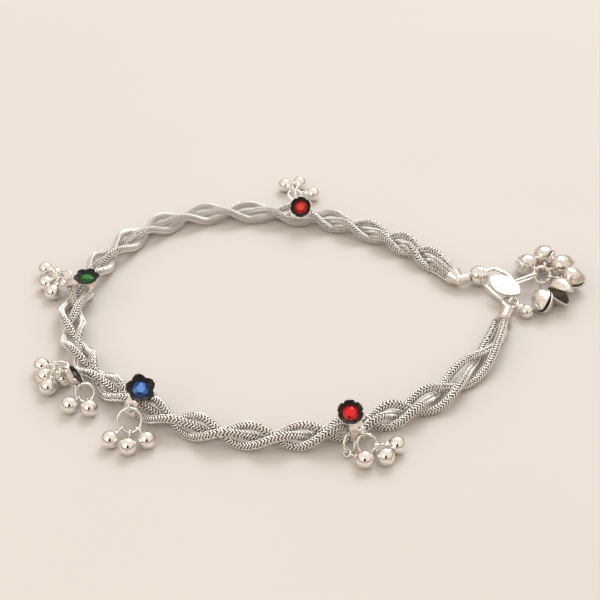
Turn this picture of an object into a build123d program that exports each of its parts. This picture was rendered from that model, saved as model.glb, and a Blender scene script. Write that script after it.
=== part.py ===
from build123d import *
from math import cos, pi, radians, sin, tan
import os

# A payal anklet: three foxtail chains plaited into a loop, flower settings clamped round the plait,
# ball bells on jump rings, and a hook clasp with a bunch of pea bells. It lies on the plane Z = 0.
# All sizes are in millimetres.

ON_BASE = (Align.CENTER, Align.CENTER, Align.MIN)

CHAIN_D = 1.7  # one foxtail chain
RUNS = 112  # straight runs in a chain's route
ARC_SHARE = 0.45  # the part of a run that an arc takes up at each of its ends

BAND_T = 0.3  # the strip that clamps round the plait, under a flower
BAND_W = 2.6
BAND_ROOM = 0.42  # from the plait's reach to the strip

PETAL_SHARE = 0.42  # a round petal's radius, as a share of the rim's
CUP_NOTCH = 0.76  # where two pointed petals meet, on the cup and on the dark lining
LINING_NOTCH = 0.7
CUP_DEEP = 1.4
CUP_FLOOR_R = 1.3
SHEET = 0.2  # the sheet that cups and linings are pressed from
LINING_GAP = 0.05
PETALS_IN = 0.13  # the lining's floor stays this far inside the cup's
FOOT_R = 1.15
FOOT_H = 1.3
STONE_R = 1.5
STONE_TABLE_R = 0.85
STONE_GIRDLE = -0.42  # below the rim
STONE_CROWN = 0.5
STONE_CULET_R = 0.5
KNOB_R = 0.85  # the solder ball on a flower's shoulder

BALL_D = 3.2
COLLAR_D = 1.15
STEM_D = 0.42
EYE_R = 0.66
EYE_WIRE = 0.42
EYE_SLACK = 0.1
RING_WIRE = 0.5
HOLE_ROOM = 0.1  # round a ring's wire where it passes through a setting

CAP_MOUTH_D = 3.9
CAP_CONE = 1.9
FRONT_NECK_D = 2.6
BACK_NECK_D = 2.1
CHAIN_END_GAP = 0.3  # from a cap's mouth to the chains' ends
NECK_GAP = 0.15  # from the back cap's neck to the bead

# The plait, from the front cap clockwise round to the back cap: the place along it, its centre line
# on the table, how far the plaiting has turned, and how far a chain swings sideways and rises.
PLAIT = (
    # along, x, y, turned, swing, rise
    (0.0, 37.4, -9.0, 26, 1.15, 1.10),
    (5.0, 35.7, -13.5, 38, 1.50, 1.15),
    (14.0, 31.1, -21.5, 98, 2.00, 1.15),
    (28.0, 21.7, -31.8, 239, 2.10, 1.15),
    (44.0, 7.7, -39.3, 466, 1.58, 1.42),
    (56.0, -3.9, -42.0, 633, 1.80, 1.20),
    (70.0, -17.8, -40.1, 812, 1.80, 1.20),
    (84.0, -29.9, -33.5, 985, 1.62, 1.32),
    (98.0, -39.6, -24.1, 1150, 1.75, 1.25),
    (112.0, -45.3, -11.4, 1326, 2.05, 1.15),
    (126.0, -46.0, 2.3, 1484, 2.30, 1.15),
    (140.0, -41.6, 15.5, 1655, 2.10, 1.15),
    (154.0, -33.1, 26.8, 1827, 1.90, 1.18),
    (168.0, -20.7, 32.7, 1999, 1.82, 1.20),
    (187.0, -1.8, 31.6, 2228, 1.60, 1.38),
    (198.0, 8.5, 27.8, 2381, 1.68, 1.25),
    (210.0, 18.7, 21.2, 2545, 1.72, 1.25),
    (221.4, 26.6, 12.9, 2716, 1.62, 1.22),
    (227.4, 29.8, 7.8, 2736, 1.20, 1.15),
)
ALONG, X, Y, TURNED, SWING, RISE = range(6)
PLAIT_END = PLAIT[-1][ALONG]

# The flowers: where along the plait their strip clamps and how low its two ends reach, the rim's
# centre, the way that it faces, its radius, its petals and the first one's turn in degrees. The
# side flower has no strip: it lies against the plait's outer side.
FLOWERS = (
    # name, along, foot, rim, facing, rim_r, petals, pointed, first
    ("front_red", 44.5, 1.9, (7.1, -40.6, 6.5), (0.05, -0.50, 0.87), 2.5, 6, False, 30),
    ("blue", 84.0, 1.9, (-29.6, -34.1, 6.5), (0.22, -0.52, 0.82), 2.9, 5, True, 13),
    ("side", None, None, (-42.0, -27.6, 4.4), (0.82, 0.24, 0.52), 2.3, 6, False, 0),
    ("green", 126.0, 2.9, (-44.1, 2.0, 6.0), (0.00, -0.10, 1.00), 2.8, 6, True, 10),
    ("back_red", 187.0, 3.0, (-1.5, 28.7, 6.0), (-0.15, -0.75, 0.64), 2.5, 6, False, 30),
)

# The jump rings: the flower that each one hangs from and the place there that holds its eye, or
# None where it hangs from the ring before it, then its centre, the way it faces and its radius.
# A flower's solder ball is at its first ring's place.
RINGS = (
    # name, flower, held_at, centre, facing, radius
    ("ring_front_red_1", "front_red", (9.0, -41.8, 3.4), (6.9, -43.4, 1.85), (0.80, -0.49, 0.34), 1.65),
    ("ring_front_red_2", "front_red", (9.0, -41.8, 3.4), (9.9, -43.5, 1.75), (0.00, -0.82, 0.57), 1.65),
    ("ring_blue", "blue", (-31.5, -36.0, 3.5), (-31.4, -38.4, 2.7), (0.00, -0.82, 0.57), 2.1),
    ("ring_side_1", "side", (-43.85, -26.1, 3.9), (-45.4, -25.1, 4.2), (-0.10, -0.10, 0.99), 1.4),
    ("ring_side_2", "side", (-42.6, -28.5, 3.0), (-40.4, -30.0, 2.15), (0.00, -0.82, 0.57), 1.65),
    ("ring_green_1", "green", (-49.2, 3.2, 3.2), (-49.6, 6.2, 3.3), (-0.20, -0.20, 0.95), 1.5),
    ("ring_green_2", None, None, (-50.8, 7.9, 2.9), (0.60, 0.60, 0.50), 1.2),
    ("ring_back_red_2", "back_red", (-1.3, 34.6, 2.6), (-2.3, 38.0, 2.3), (0.97, 0.05, 0.20), 1.9),
    ("ring_back_red_1", None, None, (-2.75, 40.45, 2.1), (0.10, -0.30, 0.95), 1.5),
)

# The ball bells: the ring that each one hangs from, the angle about that ring where its eye rides,
# or None for the side nearest the ball, and the place where the ball lies on the table.
BALLS = (
    # name, ring, angle, x, y
    ("ball_front_red_1", "ring_front_red_1", None, 9.4, -47.3),
    ("ball_front_red_2", "ring_front_red_2", None, 13.0, -46.6),
    ("ball_front_red_3", "ring_front_red_2", None, 15.1, -43.6),
    ("ball_blue_1", "ring_blue", None, -34.5, -42.2),
    ("ball_blue_2", "ring_blue", None, -31.2, -44.0),
    ("ball_blue_3", "ring_blue", None, -28.1, -42.3),
    ("ball_side_1", "ring_side_1", None, -49.7, -21.5),
    ("ball_side_2", "ring_side_1", None, -48.6, -24.6),
    ("ball_side_3", "ring_side_1", None, -47.5, -27.75),
    ("ball_side_4", "ring_side_1", -35, -45.0, -25.2),
    ("ball_side_5", "ring_side_2", None, -42.85, -32.9),
    ("ball_side_6", "ring_side_2", None, -39.2, -33.7),
    ("ball_green_1", "ring_green_2", None, -54.1, 10.9),
    ("ball_green_2", "ring_green_1", None, -53.25, 5.8),
    ("ball_green_3", "ring_green_1", None, -51.4, 2.6),
    ("ball_back_red_1", "ring_back_red_1", None, -5.0, 45.6),
    ("ball_back_red_2", "ring_back_red_1", None, -1.7, 46.6),
    ("ball_back_red_3", "ring_back_red_1", None, 1.3, 41.6),
)

# The clasp, which joins the two caps: a bead with a wire hook, a leaf plate over the hook, a ring
# that the hook passes down through, and a small ball that hangs from that ring.
BEAD_AT = Vector(34.8, 7.6, 2.3)
BEAD_D = 4.1
BEAD_RIDGE_D = 0.4
BEAD_RIDGES = 4
RIDGE_FROM = 35  # from the bead's axis, in degrees
RIDGE_STEP = 20
BEAD_FACING = Vector(1, 0.1, 0)  # from the cap to the hook
HOOK_WIRE = 0.8
HOOK_ROUTE = (
    # x, y, z
    (36.0, 8.7, 2.3),
    (38.3, 9.6, 2.8),
    (41.0, 7.6, 2.5),
    (41.9, 4.4, 2.3),
    (41.2, 1.4, 2.6),
    (40.4, -0.6, 2.2),
    (39.8, -0.8, 0.9),
    (39.0, 1.2, 0.5),
    (37.4, 3.8, 0.6),
    (35.7, 6.4, 1.2),
)
CLASP_RING_AT = Vector(40.3, -0.9, 1.5)
CLASP_RING_R = 1.5
CLASP_RING_WIRE = 0.7
CLASP_RING_FACING = (0.1, -0.1, 1)
CLASP_EYE_R = 0.8
TAIL_AT = Vector(43.1, -3.9, 1.45)
TAIL_D = 2.8
TAIL_NECK_D = 1.7
LEAF_AT = Vector(39.5, 2.3, 3.45)
LEAF_LONG = 7.2
LEAF_WIDE = 4.4
LEAF_T = 0.45
LEAF_ALONG = Vector(0.7, -0.7, 0)
LEAF_FACING = Vector(-0.1, -0.25, 1)
LINK_ENDS = (Vector(41.05, 4.4, 2.35), Vector(46.5, 6.1, 3.5))
LINK_ACROSS = Vector(0, -0.51, 0.85)
LINK_WIDE = 1.9
LINK_WIRE = 0.55
LINK_CORNER = 0.98  # of half the link's width

# The bunch of pea bells on its ring.
BELL_RING_AT = Vector(47.4, 6.0, 3.5)
BELL_RING_R = 1.6
BELL_RING_WIRE = 0.7
BELL_RING_FACING = (0, -0.82, 0.57)
BELL_EYE_R = 0.72
SHELL_T = 0.25
SLIT_ROOT = 0.3  # width of a slit where it ends
SLIT_SHARE = 0.8  # the part of a bell's length that its slit takes
BUD_FULLNESS = 0.75  # a bell's widest place as a share of its curve's own reach
BUD_SHOULDER = 0.2  # how far up a bell its curve starts to draw in, as a share of the half length
PEA_BELLS = (
    # name, angle about the ring, centre, half length, half width, slit's turn, gape at the tip
    ("pea_bell_1", 140, (45.0, 11.8, 2.3), 3.1, 2.1, 15, 0.7),
    ("pea_bell_2", 75, (49.3, 14.2, 2.9), 3.2, 2.1, 25, 0.9),
    ("pea_bell_3", 35, (52.9, 11.0, 2.4), 3.5, 2.1, 60, 0.9),
    ("pea_bell_4", -12, (53.9, 5.8, 2.6), 2.6, 2.3, 60, 0.7),
    ("pea_bell_5", -50, (50.6, 0.6, 2.6), 2.9, 2.4, -40, 3.6),
    ("pea_bell_6", -100, (46.45, -2.1, 2.4), 3.0, 2.1, -10, 0.5),
)


def between(column, along):
    """A column of PLAIT at a place along it, on a smooth curve through the rows."""
    last = len(PLAIT) - 1
    row = min(sum(along >= start[ALONG] for start in PLAIT) - 1, last - 1)

    def slope(k):
        before, after = PLAIT[max(k - 1, 0)], PLAIT[min(k + 1, last)]
        return (after[column] - before[column]) / (after[ALONG] - before[ALONG])

    start, end = PLAIT[row], PLAIT[row + 1]
    step = end[ALONG] - start[ALONG]
    t = (along - start[ALONG]) / step
    return (
        start[column] * (2 * t**3 - 3 * t**2 + 1)
        + slope(row) * step * (t**3 - 2 * t**2 + t)
        + end[column] * (3 * t**2 - 2 * t**3)
        + slope(row + 1) * step * (t**3 - t**2)
    )


def section_plane(along, step=0.25):
    """The plane across the plait: local X points out of the loop and local Y points up."""
    here = max(along - step, 0), min(along + step, PLAIT_END)
    start, end = (Vector(between(X, place), between(Y, place)) for place in here)
    forward = (end - start).normalized()
    return Plane(
        origin=(between(X, along), between(Y, along), 0),
        x_dir=(-forward.Y, forward.X, 0),
        z_dir=forward,
    )


def chain_point(number, along):
    """The centre of one chain, at a place along the plait."""
    turned = radians(between(TURNED, along) + 120 * number)
    rise = between(RISE, along)
    out = between(SWING, along) * sin(turned)
    up = CHAIN_D / 2 + rise + rise * sin(2 * turned)
    return section_plane(along).from_local_coords(Vector(out, up, 0))


def arc_radii(points):
    """At each corner, the radius of the largest arc that its two runs allow."""
    radii = []
    for before, corner, after in zip(points, points[1:], points[2:]):
        run_in, run_out = corner - before, after - corner
        half_turn = radians(run_in.get_angle(run_out)) / 2
        radii.append(ARC_SHARE * min(run_in.length, run_out.length) / tan(half_turn))
    return radii


def tube(label, points, diameter):
    """A round tube along straight runs that tangent arcs join."""
    radii = arc_radii(points)
    with BuildPart() as pipe:
        with BuildLine():
            route = FilletPolyline(*points, radius=radii)
        with BuildSketch(Plane(origin=route @ 0, z_dir=route % 0)):
            Circle(diameter / 2)
        sweep()
    expected = route.length * pi * diameter**2 / 4
    print(f"{label}: length {route.length:.1f}, volume {pipe.part.volume:.1f} of {expected:.1f},")
    print("  arc radii", " ".join(f"{radius:.1f}" for radius in radii))
    return pipe.part


def chain(number):
    start, end = CHAIN_END_GAP, PLAIT_END - CHAIN_END_GAP
    places = [start + (end - start) * k / RUNS for k in range(RUNS + 1)]
    points = [chain_point(number, place) for place in places]
    return tube(f"strand_{number + 1}", points, CHAIN_D)


def level_plane(origin, facing):
    """A plane that faces a given way, with its X level."""
    facing = Vector(*facing)
    return Plane(origin=origin, x_dir=(-facing.Y, facing.X, 0), z_dir=facing)


def ring_plane(name):
    for ring, _, _, centre, facing, radius in RINGS:
        if ring == name:
            return level_plane(centre, facing), radius


def eye_plane(plane, radius, target, angle=None):
    """Where an eye rides on a ring: Z points at a target, and X runs along the ring's wire.

    The angle about the ring is from its plane's X. Without one, it is the target's side.
    """
    if angle is None:
        toward = target - plane.origin
        flat = (toward - plane.z_dir * toward.dot(plane.z_dir)).normalized()
    else:
        flat = plane.x_dir * cos(radians(angle)) + plane.y_dir * sin(radians(angle))
    at = plane.origin + flat * (radius + EYE_SLACK)
    return Plane(origin=at, x_dir=plane.z_dir.cross(flat), z_dir=target - at)


def ball_bell(ring, angle, x, y):
    """A ball with its collar, stem and eye in one piece, which lies on the table."""
    centre = Vector(x, y, BALL_D / 2)
    eye = eye_plane(*ring_plane(ring), centre, angle)
    reach = (centre - eye.origin).length
    with BuildPart(eye) as ball:
        with Locations((0, 0, reach)):
            Sphere(BALL_D / 2)
        with Locations((0, 0, reach - BALL_D / 2 - COLLAR_D / 8)):
            Sphere(COLLAR_D / 2)
        with Locations((0, 0, EYE_R)):
            Cylinder(STEM_D / 2, reach - EYE_R, align=ON_BASE)
        Torus(EYE_R, EYE_WIRE / 2, rotation=(0, 90, 0))
    return ball.part


def jump_ring(plane, radius, wire):
    with BuildPart(plane) as ring:
        Torus(radius, wire / 2)
    return ring.part


def flower_outline(petals, pointed, first, reach, notch):
    """The outline of a flower of round petals, or of one whose petals end in points."""
    if pointed:
        reaches = [reach * (notch if k % 2 else 1) for k in range(2 * petals)]
        turns = [radians(first + 180 * k / petals) for k in range(2 * petals)]
        Polygon(*[(r * cos(turn), r * sin(turn)) for r, turn in zip(reaches, turns)], align=None)
    else:
        petal = reach * PETAL_SHARE
        Circle(reach - petal)
        with PolarLocations(reach - petal, petals, start_angle=first):
            Circle(petal)


def dish(rim_r, floor_r, deep, petals, pointed, first, notch):
    """A pressed dish, open upwards, whose rim is cut to the flower's outline."""
    with BuildPart() as pressed:
        with BuildSketch(Plane.XZ):
            with BuildLine():
                Polyline(
                    (0, -deep),
                    (floor_r, -deep),
                    (rim_r, 0),
                    (rim_r - SHEET, 0),
                    (floor_r - SHEET / 2, SHEET - deep),
                    (0, SHEET - deep),
                    close=True,
                )
            make_face()
        revolve(axis=Axis.Z)
        with BuildSketch(Plane.XY.offset(-deep - 1)):
            flower_outline(petals, pointed, first, rim_r, notch)
        extrude(amount=deep + 2, mode=Mode.INTERSECT)
    return pressed.part


def strip_section(along, foot, more):
    """The strip's outline across the plait, larger by a given amount, above its two feet."""
    middle = CHAIN_D / 2 + between(RISE, along)
    half_wide = between(SWING, along) + CHAIN_D / 2 + BAND_ROOM + more
    half_high = middle + BAND_ROOM + more
    with BuildSketch(section_plane(along)) as section:
        with Locations((0, middle)):
            Ellipse(half_wide, half_high)
        with Locations((0, foot)):
            Rectangle(
                3 * half_wide, 2 * half_high, align=(Align.CENTER, Align.MAX), mode=Mode.SUBTRACT
            )
    return section.sketch


def flower_cup(name, along, foot, rim, facing, rim_r, petals, pointed, first):
    """The silver setting: cup, foot, strip over the plait, solder ball and an eye for each ring."""
    face = level_plane(rim, facing)
    cup = dish(rim_r, CUP_FLOOR_R, CUP_DEEP, petals, pointed, first, CUP_NOTCH)
    rings = [ring for ring in RINGS if ring[1] == name]
    with BuildPart() as setting:
        add(cup.moved(face.location))
        if along is not None:
            with Locations(face.location * Location((0, 0, SHEET / 2 - CUP_DEEP))):
                Cylinder(FOOT_R, FOOT_H, align=(Align.CENTER, Align.CENTER, Align.MAX))
            extrude(strip_section(along, foot, BAND_T), amount=BAND_W / 2, both=True)
        with Locations(rings[0][2]):
            Sphere(KNOB_R)
        for ring, _, held_at, _, _, _ in rings:
            eye = eye_plane(*ring_plane(ring), Vector(*held_at))
            reach = (Vector(*held_at) - eye.origin).length
            with Locations(eye.location):
                Torus(EYE_R, EYE_WIRE / 2, rotation=(0, 90, 0))
                if reach > EYE_R:
                    with Locations((0, 0, EYE_R)):
                        Cylinder(STEM_D / 2, reach - EYE_R, align=ON_BASE)
        if along is not None:
            extrude(strip_section(along, 0, 0), amount=BAND_W, both=True, mode=Mode.SUBTRACT)
        with Locations(face.location):
            Cone(
                CUP_FLOOR_R - SHEET / 2,
                rim_r - SHEET,
                CUP_DEEP - SHEET,
                align=(Align.CENTER, Align.CENTER, Align.MAX),
                mode=Mode.SUBTRACT,
            )
        for ring, _, _, _, _, _ in rings:
            plane, radius = ring_plane(ring)
            with Locations(plane.location):
                Torus(radius, RING_WIRE / 2 + HOLE_ROOM, mode=Mode.SUBTRACT)
    return setting.part


def flower_lining(rim, facing, rim_r, petals, pointed, first):
    """The dark petals, pressed to lie inside the cup."""
    inside = SHEET + LINING_GAP
    edge_r, floor_r = rim_r - inside, CUP_FLOOR_R - PETALS_IN
    lining = dish(edge_r, floor_r, CUP_DEEP - inside, petals, pointed, first, LINING_NOTCH)
    return lining.moved(level_plane(rim, facing).location)


def flower_stone(rim, facing):
    """A round stone: a flat table, a sloping crown and a cut-off cone below the girdle."""
    with BuildPart() as stone:
        with BuildSketch(Plane.XZ):
            with BuildLine():
                floor = 2 * (SHEET + LINING_GAP) - CUP_DEEP
                Polyline(
                    (0, floor),
                    (STONE_CULET_R, floor),
                    (STONE_R, STONE_GIRDLE),
                    (STONE_TABLE_R, STONE_GIRDLE + STONE_CROWN),
                    (0, STONE_GIRDLE + STONE_CROWN),
                    close=True,
                )
            make_face()
        revolve(axis=Axis.Z)
    return stone.part.moved(level_plane(rim, facing).location)


def cap_axis(along, backward):
    """The middle of a cap's mouth and the direction that it faces away from the chains."""
    mouth = section_plane(along)
    middle = mouth.origin + Vector(0, 0, CHAIN_D / 2 + between(RISE, along))
    return middle, mouth.z_dir * (-1 if backward else 1)


def end_cap(along, backward, neck_d, target, gap):
    """A cone that the three chains end in, with a neck that turns to stop short of a target."""
    mouth, axis = cap_axis(along, backward)
    corner = mouth + axis * CAP_CONE
    neck = target - corner
    with BuildPart() as cap:
        with Locations(Plane(origin=mouth, z_dir=axis).location):
            Cone(CAP_MOUTH_D / 2, neck_d / 2, CAP_CONE, align=ON_BASE)
        with Locations(corner):
            Sphere(neck_d / 2)
        with Locations(Plane(origin=corner, z_dir=neck).location):
            Cylinder(neck_d / 2, neck.length - gap, align=ON_BASE)
    return cap.part


def clasp_ring_plane():
    return level_plane(CLASP_RING_AT, CLASP_RING_FACING)


def front_cap():
    """The cap with an eye that rides on the clasp's ring."""
    mouth, axis = cap_axis(0, True)
    eye = eye_plane(clasp_ring_plane(), CLASP_RING_R, mouth + axis * CAP_CONE)
    with BuildPart() as cap:
        add(end_cap(0, True, FRONT_NECK_D, eye.origin, CLASP_EYE_R + EYE_WIRE))
        with Locations(eye.location):
            Torus(CLASP_EYE_R, EYE_WIRE / 2, rotation=(0, 90, 0))
            with Locations((0, 0, CLASP_EYE_R)):
                Cylinder(EYE_WIRE, 3 * EYE_WIRE, align=ON_BASE)
    return cap.part


def back_cap():
    """The cap whose neck reaches the bead."""
    return end_cap(PLAIT_END, False, BACK_NECK_D, BEAD_AT, BEAD_D / 2 + NECK_GAP)


def clasp_hook():
    """The ridged bead with its hook of one bent wire, whose two ends are soldered into it."""
    wire = tube("clasp_hook", [Vector(*point) for point in HOOK_ROUTE], HOOK_WIRE)
    with BuildPart() as hook:
        add(wire)
        with Locations(Plane(origin=BEAD_AT, z_dir=BEAD_FACING).location):
            Sphere(BEAD_D / 2)
            for ridge in range(BEAD_RIDGES):
                turn = radians(RIDGE_FROM + ridge * RIDGE_STEP)
                with Locations((0, 0, BEAD_D / 2 * cos(turn))):
                    Torus(BEAD_D / 2 * sin(turn), BEAD_RIDGE_D / 2)
    return hook.part


def clasp_leaf():
    """A plate with two curved edges, which lies over the hook."""
    plane = Plane(origin=LEAF_AT, x_dir=LEAF_ALONG, z_dir=LEAF_FACING)
    with BuildPart() as leaf:
        with BuildSketch(plane):
            with BuildLine():
                ThreePointArc((-LEAF_LONG / 2, 0), (-LEAF_LONG / 10, LEAF_WIDE / 2), (LEAF_LONG / 2, 0))
                ThreePointArc((LEAF_LONG / 2, 0), (-LEAF_LONG / 10, -LEAF_WIDE / 2), (-LEAF_LONG / 2, 0))
            make_face()
        extrude(amount=LEAF_T / 2, both=True)
    return leaf.part


def tail_ball():
    """The small ball that hangs from the clasp's ring, with an eye and a ridged neck."""
    eye = eye_plane(clasp_ring_plane(), CLASP_RING_R, TAIL_AT)
    reach = (TAIL_AT - eye.origin).length
    with BuildPart() as tail:
        with Locations(eye.location):
            Torus(CLASP_EYE_R, EYE_WIRE / 2, rotation=(0, 90, 0))
            with Locations((0, 0, CLASP_EYE_R)):
                Cylinder(TAIL_NECK_D / 2, reach - CLASP_EYE_R, align=ON_BASE)
            with Locations((0, 0, reach - TAIL_D / 2)):
                Torus(TAIL_NECK_D / 2, EYE_WIRE / 2)
            with Locations((0, 0, reach)):
                Sphere(TAIL_D / 2)
    return tail.part


def bell_link():
    """The long link that joins the hook to the bells' ring."""
    start, end = LINK_ENDS
    plane = Plane(
        origin=(start + end) / 2, x_dir=end - start, z_dir=(end - start).cross(LINK_ACROSS)
    )
    half_long, half_wide = (end - start).length / 2, LINK_WIDE / 2
    with BuildPart() as link:
        with BuildLine(plane):
            route = FilletPolyline(
                (-half_long, -half_wide),
                (half_long, -half_wide),
                (half_long, half_wide),
                (-half_long, half_wide),
                radius=LINK_CORNER * half_wide,
                close=True,
            )
        with BuildSketch(Plane(origin=route @ 0, z_dir=route % 0)):
            Circle(LINK_WIRE / 2)
        sweep()
    return link.part


def half_bud(half_long, half_wide):
    """Half a bud's section: round at its foot and drawn to a point at its tip."""
    reach = half_wide / BUD_FULLNESS
    with BuildSketch(Plane.XZ) as half:
        with BuildLine():
            side = Bezier(
                (0, -half_long),
                (reach, -half_long),
                (reach, BUD_SHOULDER * half_long),
                (0, half_long),
            )
            Line(side @ 1, side @ 0)
        make_face()
    return half.sketch


def pea_shell(half_long, half_wide, slit_turn, gape):
    """A thin bud about its centre, with its tip along Z and a slit that opens both its sides."""
    root = half_long * (1 - 2 * SLIT_SHARE)
    inside = half_bud(half_long - SHELL_T, half_wide - SHELL_T)
    with BuildPart() as shell:
        revolve(half_bud(half_long, half_wide), axis=Axis.Z)
        revolve(inside, axis=Axis.Z, mode=Mode.SUBTRACT)
        with BuildSketch(Plane.XZ.rotated((0, 0, slit_turn))):
            with BuildLine():
                Polyline(
                    (-SLIT_ROOT / 2, root),
                    (SLIT_ROOT / 2, root),
                    (gape / 2, half_long + SHELL_T),
                    (-gape / 2, half_long + SHELL_T),
                    close=True,
                )
            make_face()
        extrude(amount=2 * half_wide, both=True, mode=Mode.SUBTRACT)
    return shell.part


def pea_bell(angle, centre, half_long, half_wide, slit_turn, gape):
    """A bell with the stem and eye that it hangs from."""
    centre = Vector(*centre)
    eye = eye_plane(level_plane(BELL_RING_AT, BELL_RING_FACING), BELL_RING_R, centre, angle)
    reach = (centre - eye.origin).length
    shell = pea_shell(half_long, half_wide, slit_turn, gape)
    with BuildPart() as bell:
        add(shell.moved(eye.location * Location((0, 0, reach))))
        with Locations(eye.location):
            Torus(BELL_EYE_R, EYE_WIRE / 2, rotation=(0, 90, 0))
            with Locations((0, 0, BELL_EYE_R)):
                Cylinder(STEM_D / 2, reach - half_long + SHELL_T - BELL_EYE_R, align=ON_BASE)
    return bell.part


def write(label, solid):
    solid.label = label
    export_step(solid, f"parts/{label}.step")


def main():
    os.makedirs("parts", exist_ok=True)
    for number in range(3):
        write(f"strand_{number + 1}", chain(number))
    for name, along, foot, rim, facing, *shape in FLOWERS:
        write(f"cup_{name}", flower_cup(name, along, foot, rim, facing, *shape))
        write(f"petals_{name}", flower_lining(rim, facing, *shape))
        write(f"stone_{name}", flower_stone(rim, facing))
    for ring in RINGS:
        write(ring[0], jump_ring(*ring_plane(ring[0]), RING_WIRE))
    for name, *shape in BALLS:
        write(name, ball_bell(*shape))
    write("cap_front", front_cap())
    write("cap_back", back_cap())
    write("clasp_hook", clasp_hook())
    write("clasp_leaf", clasp_leaf())
    write("clasp_ring", jump_ring(clasp_ring_plane(), CLASP_RING_R, CLASP_RING_WIRE))
    write("tail_ball", tail_ball())
    bell_ring = level_plane(BELL_RING_AT, BELL_RING_FACING)
    write("bell_ring", jump_ring(bell_ring, BELL_RING_R, BELL_RING_WIRE))
    write("bell_link", bell_link())
    for name, *shape in PEA_BELLS:
        write(name, pea_bell(*shape))


main()
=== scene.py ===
from math import atan2, cos, exp, hypot, pi, radians, sin

import bmesh
import bpy
from bpy.props import FloatProperty, FloatVectorProperty, PointerProperty
from mathutils import Matrix, Vector


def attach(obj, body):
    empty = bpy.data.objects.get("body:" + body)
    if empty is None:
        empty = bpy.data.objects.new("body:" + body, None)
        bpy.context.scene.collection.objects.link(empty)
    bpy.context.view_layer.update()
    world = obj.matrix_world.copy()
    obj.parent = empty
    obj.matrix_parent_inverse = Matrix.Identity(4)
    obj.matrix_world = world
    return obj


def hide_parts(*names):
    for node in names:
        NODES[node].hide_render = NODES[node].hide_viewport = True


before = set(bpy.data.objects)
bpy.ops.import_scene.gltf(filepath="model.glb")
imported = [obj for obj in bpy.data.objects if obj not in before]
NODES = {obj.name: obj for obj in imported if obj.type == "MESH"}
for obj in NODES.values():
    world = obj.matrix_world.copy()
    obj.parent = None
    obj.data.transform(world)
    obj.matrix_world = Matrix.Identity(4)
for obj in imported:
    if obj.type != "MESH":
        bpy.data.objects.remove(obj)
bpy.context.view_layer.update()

bl_info = {
    "name": "Payal Anklet",
    "version": (1, 0, 0),
    "blender": (4, 5, 0),
    "location": "3D View > Sidebar > Payal",
    "description": "Foxtail chains, enamelled flowers, stones, bells and finishes of a silver anklet",
    "category": "Object",
}

MM = 0.001
ROOT = "root"

# The plait, from the front cap clockwise round to the back cap, in millimetres and degrees: the
# place along it, its centre line on the table, how far the plaiting has turned, and how far a chain
# swings sideways and rises.
PLAIT = (
    # along, x, y, turned, swing, rise
    (0.0, 37.4, -9.0, 26, 1.15, 1.10),
    (5.0, 35.7, -13.5, 38, 1.50, 1.15),
    (14.0, 31.1, -21.5, 98, 2.00, 1.15),
    (28.0, 21.7, -31.8, 239, 2.10, 1.15),
    (44.0, 7.7, -39.3, 466, 1.58, 1.42),
    (56.0, -3.9, -42.0, 633, 1.80, 1.20),
    (70.0, -17.8, -40.1, 812, 1.80, 1.20),
    (84.0, -29.9, -33.5, 985, 1.62, 1.32),
    (98.0, -39.6, -24.1, 1150, 1.75, 1.25),
    (112.0, -45.3, -11.4, 1326, 2.05, 1.15),
    (126.0, -46.0, 2.3, 1484, 2.30, 1.15),
    (140.0, -41.6, 15.5, 1655, 2.10, 1.15),
    (154.0, -33.1, 26.8, 1827, 1.90, 1.18),
    (168.0, -20.7, 32.7, 1999, 1.82, 1.20),
    (187.0, -1.8, 31.6, 2228, 1.60, 1.38),
    (198.0, 8.5, 27.8, 2381, 1.68, 1.25),
    (210.0, 18.7, 21.2, 2545, 1.72, 1.25),
    (221.4, 26.6, 12.9, 2716, 1.62, 1.22),
    (227.4, 29.8, 7.8, 2736, 1.20, 1.15),
)
ALONG, X, Y, TURNED, SWING, RISE = range(6)
PLAIT_END = PLAIT[-1][ALONG]
CHAIN_D = 1.7
CHAIN_END_GAP = 0.3  # from each end of the plait to the ends of its chains
STRANDS = 3
ROUTE_STEPS = 336  # into which a chain's route is divided
LINK_VEES = 4  # times that a link turns forward and back
LINK_DIP = 0.12  # share of its reach by which a link's back corners are nearer to the middle
SHADE_PAINTED_FROM = 0.5  # of a link's wire, under its reach: painted shade from here inwards
SHADE_PAINTED_UNTIL = 0.1  # of a link's wire, under its reach: bright silver from here outwards, with the painted shade fading in between
CORE_SIDES = 8

# The flowers: the reach of their rims in millimetres, their petals with the first one's turn in
# degrees, and their stones' colours on the flat table and on the facets round it; the table's lighter
# colour is painted light that comes back out of the stone.
FLOWERS = (
    # name, rim_r, petals, pointed, first, table colour, facet colour
    ("front_red", 2.5, 6, False, 30, (0.80, 0.003, 0.002), (0.36, 0.000, 0.001)),
    ("blue", 2.9, 5, True, 13, (0.10, 0.30, 0.80), (0.002, 0.015, 0.16)),
    ("side", 2.3, 6, False, 0, (0.03, 0.03, 0.03), (0.01, 0.01, 0.01)),
    ("green", 2.8, 6, True, 10, (0.012, 0.19, 0.012), (0.001, 0.045, 0.003)),
    ("back_red", 2.5, 6, False, 30, (0.72, 0.010, 0.008), (0.36, 0.000, 0.001)),
)
PETAL_SHARE = 0.42  # a round petal's radius in its flower's
POINT_NOTCH = 0.76  # how far out the notch between two pointed petals is, as a share
POINT_CURVE = 0.85  # below 1, the sides of a pointed petal bulge
EDGE_SHOWN = 0.07  # of the silver cup, round the enamel
FLOOR_R = 0.95
BOWL_DEEP = 0.95
BOWL_CURVE = 1.25  # above 1, the petals flatten towards their tips
ENAMEL_T = 0.1
ENAMEL_PROUD = 0.03  # of the cup's rim
PETAL_RISE = 0.16  # of a petal's sides over its middle line, halfway out

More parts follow.
